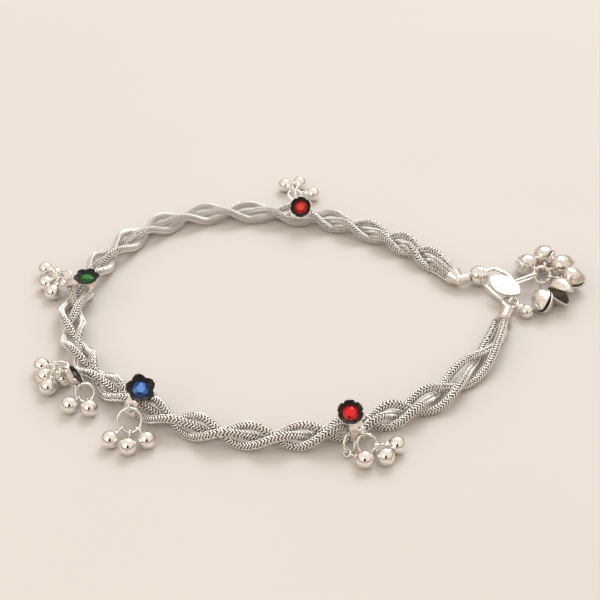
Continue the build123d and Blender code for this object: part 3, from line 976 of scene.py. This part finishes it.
class StageSettings(bpy.types.PropertyGroup):
    """The surface, the camera and the lights"""

    floor: FloatVectorProperty(
        name="Surface",
        description="Colour of the surface",
        default=(0.675, 0.650, 0.620),
        subtype="COLOR",
    )
    floor_low: FloatVectorProperty(
        name="Surface, darker",
        description="Colour of its mottling",
        default=(0.645, 0.615, 0.580),
        subtype="COLOR",
    )
    elevation: FloatProperty(
        name="Camera height",
        description="Angle above the surface",
        default=radians(35),
        subtype="ANGLE",
    )
    distance: FloatProperty(
        name="Camera distance",
        description="From the point it looks at",
        default=0.261,
        subtype="DISTANCE",
    )
    lens: FloatProperty(
        name="Lens",
        description="Focal length in millimetres",
        default=77.6,
        subtype="DISTANCE_CAMERA",
    )
    window: FloatProperty(
        name="Window",
        description="Power of the main light",
        default=11.0,
        unit="POWER",
    )
    fill: FloatProperty(
        name="Fill",
        description="Power of the light from the front",
        default=0.3,
        unit="POWER",
    )
    card: FloatProperty(
        name="Card",
        description="Half the width of the dark card",
        default=0.1,
        subtype="DISTANCE",
    )
    sky: FloatProperty(
        name="Sky",
        description="Strength of the light all round",
        default=0.96,
    )


class PAYAL_OT_chains(bpy.types.Operator):
    """Make the three foxtail chains, link by link along their plaited routes"""

    bl_idname = "payal.chains"
    bl_label = "Foxtail chains"

    def execute(self, context):
        chain = context.scene.payal_chain
        finishes = context.scene.payal_finish
        reach = CHAIN_D / 2 * MM - chain.wire / 2
        link = new_piece("link", link_mesh("link", chain.wire, chain.link_length, reach))
        tree = foxtail_tree()
        start, end = CHAIN_END_GAP, PLAIT_END - CHAIN_END_GAP
        places = [start + (end - start) * k / ROUTE_STEPS for k in range(ROUTE_STEPS + 1)]
        for number in range(STRANDS):
            points = [chain_point(number, place) for place in places]
            route = route_curve(f"route_{number + 1}", points)
            values = {
                "Route": route,
                "Link": link,
                "Pitch": chain.pitch,
                "Core Radius": CHAIN_D / 2 * MM * chain.core_share,
                "Unevenness": chain.unevenness,
                "Link Finish": finish_of(chain_silver, finishes),
                # The core's finish is painted shade, dark where the chain's inside is in shade.
                "Core Finish": finish_of(tarnished_silver, finishes),
            }
            name = f"foxtail_{number + 1}"
            piece = new_piece(name, grown(name, tree, values))
            hand_over(piece, f"strand_{number + 1}")
            bpy.data.objects.remove(route)
        bpy.data.objects.remove(link)
        return {"FINISHED"}


class PAYAL_OT_petals(bpy.types.Operator):
    """Press the enamelled petals of every flower"""

    bl_idname = "payal.petals"
    bl_label = "Enamelled petals"

    def execute(self, context):
        enamel = finish_of(dark_enamel, context.scene.payal_finish)
        for name, *shape, _, _ in FLOWERS:
            centre, facing = flat_top(f"stone_{name}")
            rim = centre - facing * TABLE_ABOVE_RIM * MM
            vertices, faces = petals_mesh(*shape)
            mesh = mesh_of(f"enamel_{name}", vertices, faces)
            mesh.transform(level_frame(rim, facing))
            outward(mesh)
            piece = new_piece(f"enamel_{name}", mesh, enamel)
            hand_over(piece, f"petals_{name}")
        return {"FINISHED"}


class PAYAL_OT_stones(bpy.types.Operator):
    """Cut the stone of every flower"""

    bl_idname = "payal.stones"
    bl_label = "Cut stones"

    def execute(self, context):
        for name, _, _, _, _, table, facets in FLOWERS:
            node = f"stone_{name}"
            centre, facing = flat_top(node)
            vertices, faces = stone_mesh()
            mesh = mesh_of(f"cut_{node}", vertices, faces, smooth=False)
            mesh.transform(level_frame(centre - facing * TABLE_SUNK * MM, facing))
            outward(mesh)
            # Painted reflections: full on the table, and a wave from dark to light over the facets.
            glow = mesh.attributes.new("glow", "FLOAT", "FACE")
            for k, polygon in enumerate(mesh.polygons):
                on_table = len(polygon.vertices) > 4
                wave = 0.5 + 0.5 * sin(FACET_TURN * k + FACET_START)
                glow.data[k].value = 1.0 if on_table else FACET_PAINTED_REFLECTION * wave
            piece = new_piece(f"cut_{node}", mesh, stone_finish(node, table, facets))
            hand_over(piece, node)
        return {"FINISHED"}


class PAYAL_OT_silver(bpy.types.Operator):
    """Polish the caps, settings, rings, balls and clasp"""

    bl_idname = "payal.silver"
    bl_label = "Silver pieces"

    def execute(self, context):
        finishes = context.scene.payal_finish
        polished = finish_of(polished_silver, finishes)
        cast = finish_of(cast_silver, finishes)
        for node in sorted(NODES):
            if node.startswith(MADE_APART):
                continue
            finish = cast if node.startswith(CAST) else polished
            piece = new_piece(f"{node}_polished", smooth_copy(node), finish)
            hand_over(piece, node)
        return {"FINISHED"}


class PAYAL_OT_bells(bpy.types.Operator):
    """Shape the bunch of pea bells"""

    bl_idname = "payal.bells"
    bl_label = "Pea bells"

    def execute(self, context):
        worn = finish_of(worn_silver, context.scene.payal_finish)
        # Painted shade for the inside of each bell.
        dark = finish_of(tarnished_silver, context.scene.payal_finish)
        for name, *shape in PEA_BELLS:
            mesh = bell_mesh(f"{name}_shaped", worn, dark, *shape)
            piece = new_piece(f"{name}_shaped", mesh, worn, dark)
            hand_over(piece, name)
        return {"FINISHED"}


class PAYAL_OT_leaf(bpy.types.Operator):
    """Stamp the clasp's leaf plate"""

    bl_idname = "payal.leaf"
    bl_label = "Stamped leaf"

    def execute(self, context):
        stamped = finish_of(stamped_silver, context.scene.payal_finish)
        piece = new_piece("stamped_leaf", smooth_copy("clasp_leaf"), stamped)
        hand_over(piece, "clasp_leaf")
        return {"FINISHED"}


class PAYAL_OT_stage(bpy.types.Operator):
    """Set the pale surface, the soft daylight and the camera"""

    bl_idname = "payal.stage"
    bl_label = "Stage"

    def execute(self, context):
        stage = context.scene.payal_stage
        self.lay_surface(stage)
        self.light_sky(context, stage)
        self.hang_light("window", WINDOW_AT, WINDOW_SIZE, stage.window, WINDOW_COLOUR)
        self.hang_light("front_fill", FILL_AT, FILL_SIZE, stage.fill, FILL_COLOUR)
        self.hang_card(stage)
        self.place_camera(context, stage)
        context.scene.view_settings.view_transform = "Standard"
        return {"FINISHED"}

    def lay_surface(self, stage):
        """A flat surface that ends out of sight."""
        half = SURFACE_HALF
        corners = [(-half, -half, 0), (half, -half, 0), (half, half, 0), (-half, half, 0)]
        mesh = mesh_of("surface", corners, [(0, 1, 2, 3)], smooth=False)
        surface = new_piece("surface", mesh, floor_finish(stage))

    def light_sky(self, context, stage):
        """Light all round: dim and warm near the surface, bright and pale above."""
        world = bpy.data.worlds.new("room")
        world.use_nodes = True
        context.scene.world = world
        tree = Tree(world.node_tree)
        place = tree.add("ShaderNodeTexCoord", {}, output="Generated")
        height = tree.add("ShaderNodeSeparateXYZ", {}, place, output="Z")
        colour = tree.add("ShaderNodeValToRGB", {"stops": ROOM}, height * 0.5 + 0.5)
        background = world.node_tree.nodes["Background"]
        tree.put(background.inputs["Color"], colour)
        tree.put(background.inputs["Strength"], stage.sky)

    def hang_light(self, name, place, size, power, colour):
        """A soft light that faces the anklet."""
        light = bpy.data.lights.new(name, "AREA")
        light.shape = "RECTANGLE"
        light.size, light.size_y = size
        light.energy = power
        light.color = colour
        lamp = bpy.data.objects.new(name, light)
        lamp.location = place
        lamp.rotation_euler = (-Vector(place)).to_track_quat("-Z", "Y").to_euler()
        bpy.context.scene.collection.objects.link(lamp)

    def hang_card(self, stage):
        """A small dark card behind the camera, which only the silver sees."""
        half = stage.card
        top = half * CARD_TOP
        corners = [(-half, -half, 0), (half, -half, 0), (top, half, 0), (-top, half, 0)]
        mesh = mesh_of("card", corners, [(0, 1, 2, 3)], smooth=False)
        back = Vector((0, -cos(stage.elevation), sin(stage.elevation)))
        place = back * (stage.distance + CARD_BEHIND)
        mesh.transform(level_frame(place, -back, Vector((-1, 0, 0))))
        finish = Finish("card_black", Base_Color=CARD_BLACK, Roughness=1.0)
        card = new_piece("card", mesh, finish.material)
        for ray in ("camera", "diffuse", "shadow", "transmission"):
            setattr(card, f"visible_{ray}", False)

    def place_camera(self, context, stage):
        """A camera that looks down on the anklet from the front."""
        back = Vector((0, -cos(stage.elevation), sin(stage.elevation))) * stage.distance
        camera = bpy.data.cameras.new("camera")
        camera.lens = stage.lens
        camera.clip_start = 0.01
        viewer = bpy.data.objects.new("camera", camera)
        viewer.location = LOOKED_AT + back
        viewer.rotation_euler = (pi / 2 - stage.elevation, 0, 0)
        context.scene.collection.objects.link(viewer)
        context.scene.camera = viewer


class PAYAL_PT_panel(bpy.types.Panel):
    """The makers of the pieces, and their settings"""

    bl_idname = "PAYAL_PT_panel"
    bl_label = "Payal anklet"
    bl_space_type = "VIEW_3D"
    bl_region_type = "UI"
    bl_category = "Payal"

    def draw(self, context):
        for operator in OPERATORS:
            self.layout.operator(operator.bl_idname)
        for group, settings in SETTINGS:
            for name in settings.__annotations__:
                self.layout.prop(getattr(context.scene, group), name)


OPERATORS = (
    PAYAL_OT_chains,
    PAYAL_OT_petals,
    PAYAL_OT_stones,
    PAYAL_OT_silver,
    PAYAL_OT_bells,
    PAYAL_OT_leaf,
    PAYAL_OT_stage,
)
SETTINGS = (
    ("payal_chain", ChainSettings),
    ("payal_finish", FinishSettings),
    ("payal_stage", StageSettings),
)


def register():
    for name, settings in SETTINGS:
        bpy.utils.register_class(settings)
        setattr(bpy.types.Scene, name, PointerProperty(type=settings))
    for operator in OPERATORS:
        bpy.utils.register_class(operator)
    bpy.utils.register_class(PAYAL_PT_panel)


def unregister():
    bpy.utils.unregister_class(PAYAL_PT_panel)
    for operator in reversed(OPERATORS):
        bpy.utils.unregister_class(operator)
    for name, settings in reversed(SETTINGS):
        delattr(bpy.types.Scene, name)
        bpy.utils.unregister_class(settings)


def main():
    register()
    bpy.ops.payal.chains()
    bpy.ops.payal.petals()
    bpy.ops.payal.stones()
    bpy.ops.payal.silver()
    bpy.ops.payal.bells()
    bpy.ops.payal.leaf()
    bpy.ops.payal.stage()


if __name__ == "__main__":
    main()
